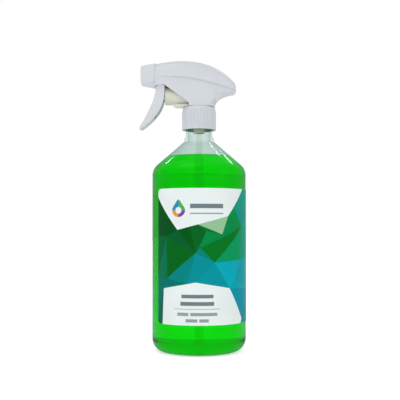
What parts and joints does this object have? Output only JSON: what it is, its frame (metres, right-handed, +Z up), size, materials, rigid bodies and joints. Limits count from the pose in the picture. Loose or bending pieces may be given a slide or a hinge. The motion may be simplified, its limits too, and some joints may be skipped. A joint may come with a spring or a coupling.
{
  "type": "trigger spray bottle",
  "caption": "Clear round bottle of green liquid with a wrap label, a ribbed screw collar and a white trigger sprayer.",
  "frame": {"origin": "on the bottle's axis, in the plane of the ring it stands on", "axes": "+Z up along the bottle's axis, -X the way the nozzle points, and +Y away from the side the label is read from"},
  "size_m": [0.1005, 0.0881, 0.2724],
  "materials": {
    "clear_pet": "gloss",
    "wash_liquid": "gloss",
    "label_film": "satin",
    "white_plastic": "satin",
    "natural_plastic": "satin",
    "foam": "matte",
    "seal_rubber": "matte",
    "steel": "polished"
  },
  "bodies": {
    "bottle": {"bottle": "clear_pet", "liquid": "wash_liquid", "label": "label_film"},
    "gasket": {"gasket": "foam"},
    "collar": {"collar": "white_plastic"},
    "sprayer": {"pump_body": "natural_plastic", "shroud": "white_plastic", "retainer": "natural_plastic", "stem_seal": "seal_rubber", "dip_tube": "natural_plastic", "stem_plug": "white_plastic", "spinner": "natural_plastic", "nozzle_seal": "seal_rubber", "return_spring": "steel"},
    "trigger": {"trigger": "white_plastic"},
    "piston": {"piston": "white_plastic", "piston_ring": "seal_rubber"},
    "nozzle": {"nozzle": "white_plastic"},
    "inlet_ball": {"inlet_ball": "steel"},
    "outlet_ball": {"outlet_ball": "steel"}
  },
  "joints": [
    {"name": "closure_rise", "type": "slide", "parent": "bottle", "child": "gasket", "axis": [0, 0, 1], "range_m": [0, 0.00636]},
    {"name": "collar_turn", "type": "hinge", "parent": "gasket", "child": "collar", "pos_m": [0, 0, 0.215], "axis": [0, 0, 1], "range_deg": [0, 540]},
    {"name": "head_swivel", "type": "hinge", "parent": "gasket", "child": "sprayer", "pos_m": [0, 0, 0.228], "axis": [0, 0, 1], "continuous": true},
    {"name": "trigger_pull", "type": "hinge", "parent": "sprayer", "child": "trigger", "pos_m": [-0.036, 0, 0.252], "axis": [0, -1, 0], "range_deg": [0, 24], "stiffness_Nm_per_rad": 0.5, "springref_deg": -8.59},
    {"name": "piston_slide", "type": "slide", "parent": "sprayer", "child": "piston", "axis": [1, 0, 0], "range_m": [0, 0.00545], "deforming": ["return_spring"]},
    {"name": "nozzle_turn", "type": "hinge", "parent": "sprayer", "child": "nozzle", "pos_m": [-0.048, 0, 0.2586], "axis": [-1, 0, 0], "continuous": true},
    {"name": "inlet_ball_lift", "type": "slide", "parent": "sprayer", "child": "inlet_ball", "axis": [0, 0, 1], "range_m": [0, 0.0013]},
    {"name": "outlet_ball_lift", "type": "slide", "parent": "sprayer", "child": "outlet_ball", "axis": [0, 0, 1], "range_m": [0, 0.0013]}
  ],
  "couplings": [
    {"joint": "closure_rise", "follows": "collar_turn", "m_per_rad": 0.0006737},
    {"joint": "piston_slide", "follows": "trigger_pull", "m_per_rad": 0.01295}
  ]
}
